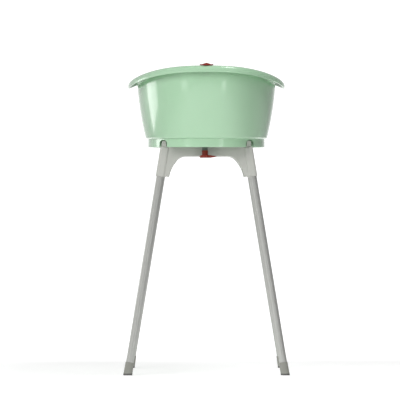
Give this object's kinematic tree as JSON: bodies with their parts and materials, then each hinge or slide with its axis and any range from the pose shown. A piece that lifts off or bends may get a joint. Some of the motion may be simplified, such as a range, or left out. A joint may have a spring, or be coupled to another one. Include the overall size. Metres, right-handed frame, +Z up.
{
  "type": "baby bath tub on a folding stand",
  "caption": "Oval green baby bath tub with a wave-shaped rolled rim, on a folding stand with arched brackets, slanted tube legs and a red drain tap underneath.",
  "frame": {"origin": "on the floor, under the middle of the tub", "axes": "+Z up, Y along the tub with the drain at -Y, X across the tub"},
  "size_m": [0.5402, 0.93, 1.0083],
  "materials": {
    "tub_green": "glossy moulded polypropylene, mint green",
    "bracket_grey": "satin moulded plastic, warm light grey",
    "tube_aluminium": "satin anodised tube",
    "foot_grey": "satin moulded plastic",
    "sole_rubber": "matt dark grey rubber",
    "drain_red": "semi-gloss red moulded plastic",
    "drain_grey": "satin grey-green moulded plastic",
    "black_rubber": "matt black rubber",
    "steel": "zinc-plated steel",
    "frame_paint": "light grey powder coat",
    "nylon": "matt dark grey nylon"
  },
  "bodies": {
    "carrier": {"left_rail": "frame_paint", "right_rail": "frame_paint", "rail_end_plugs": "nylon", "hinge_bolts": "steel", "hinge_nuts": "steel", "tub_pads": "black_rubber", "front_crossbar": "frame_paint", "front_hinge_plates": "steel", "front_hinge_shaft": "steel", "rear_crossbar": "frame_paint", "rear_hinge_plates": "steel", "rear_hinge_shaft": "steel"},
    "front_legs": {"front_bracket": "bracket_grey", "front_hinge_bushes": "nylon", "front_hinge_caps": "bracket_grey", "front_socket_screws": "steel", "front_left_tube": "tube_aluminium", "front_right_tube": "tube_aluminium", "front_left_foot": "foot_grey", "front_right_foot": "foot_grey", "front_soles": "sole_rubber"},
    "rear_legs": {"rear_bracket": "bracket_grey", "rear_hinge_bushes": "nylon", "rear_hinge_caps": "bracket_grey", "rear_socket_screws": "steel", "rear_left_tube": "tube_aluminium", "rear_right_tube": "tube_aluminium", "rear_left_foot": "foot_grey", "rear_right_foot": "foot_grey", "rear_soles": "sole_rubber"},
    "tub": {"tub_shell": "tub_green", "drain_body": "drain_grey", "drain_gasket": "black_rubber", "drain_nut": "drain_grey", "drain_strainer": "steel", "rim_grommet": "black_rubber", "tap_seal": "black_rubber"},
    "tap": {"drain_tap": "drain_red"},
    "stopper": {"stopper": "drain_red"}
  },
  "joints": [
    {"name": "front_fold", "type": "hinge", "parent": "carrier", "child": "front_legs", "pos_m": [0, -0.262, 0.722], "axis": [1, 0, 0], "range_deg": [0, 95]},
    {"name": "rear_fold", "type": "hinge", "parent": "carrier", "child": "rear_legs", "pos_m": [0, 0.262, 0.722], "axis": [-1, 0, 0], "range_deg": [0, 88.5]},
    {"name": "tub_lift", "type": "slide", "parent": "carrier", "child": "tub", "axis": [0, 0, 1], "range_m": [0, 0.12]},
    {"name": "tap_turn", "type": "hinge", "parent": "tub", "child": "tap", "pos_m": [-0.0049, -0.31, 0.72], "axis": [0, 0, -1], "range_deg": [0, 90]},
    {"name": "stopper_pull", "type": "slide", "parent": "tub", "child": "stopper", "axis": [0, 0, 1], "range_m": [0, 0.03]}
  ]
}
